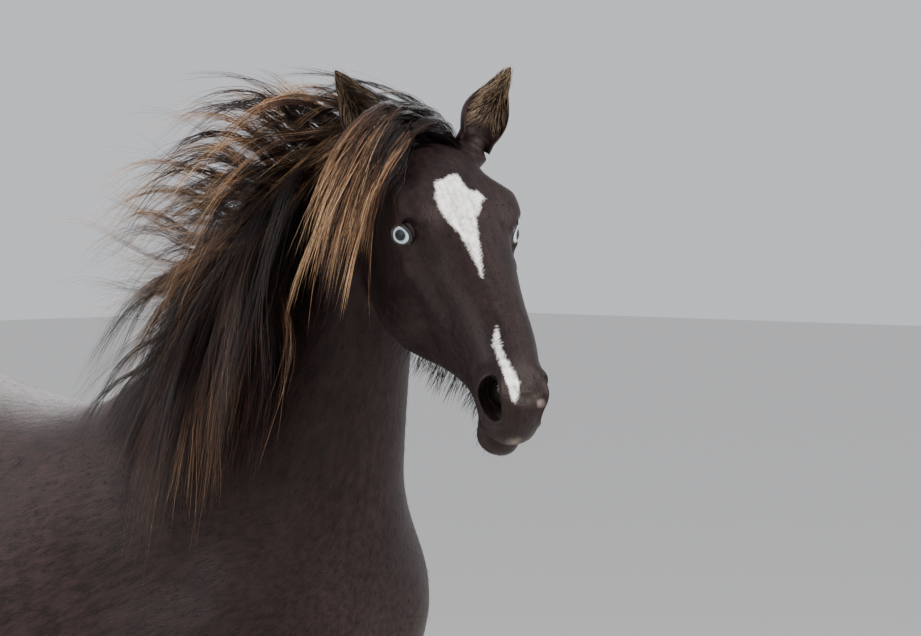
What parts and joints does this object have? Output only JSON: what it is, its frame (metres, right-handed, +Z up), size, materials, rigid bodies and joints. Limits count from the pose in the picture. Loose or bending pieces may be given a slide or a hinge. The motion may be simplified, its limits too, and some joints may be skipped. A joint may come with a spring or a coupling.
{
  "type": "icelandic horse",
  "caption": "Life-size standing horse of a small, stocky breed, dark coat with a white face mark, mane and tail blown back by the wind.",
  "frame": {"origin": "on the floor, at the centre of the model's plan box", "axes": "+X towards the horse's front, +Y to the horse's left, +Z up"},
  "size_m": [2.4526, 0.6904, 1.7918],
  "materials": {
    "coat": "short dark hair",
    "hair": "long hair",
    "horn": "satin horn",
    "eye": "wet gloss"
  },
  "bodies": {
    "root": {"torso": "coat", "neck": "coat", "head": "coat", "eye_left": "eye", "eye_right": "eye", "ear_left": "coat", "ear_right": "coat", "leg_upper_fore_left": "coat", "leg_lower_fore_left": "coat", "hoof_fore_left": "horn", "leg_upper_fore_right": "coat", "leg_lower_fore_right": "coat", "hoof_fore_right": "horn", "leg_upper_hind_left": "coat", "leg_lower_hind_left": "coat", "hoof_hind_left": "horn", "leg_upper_hind_right": "coat", "leg_lower_hind_right": "coat", "hoof_hind_right": "horn", "tail": "hair"}
  },
  "joints": []
}
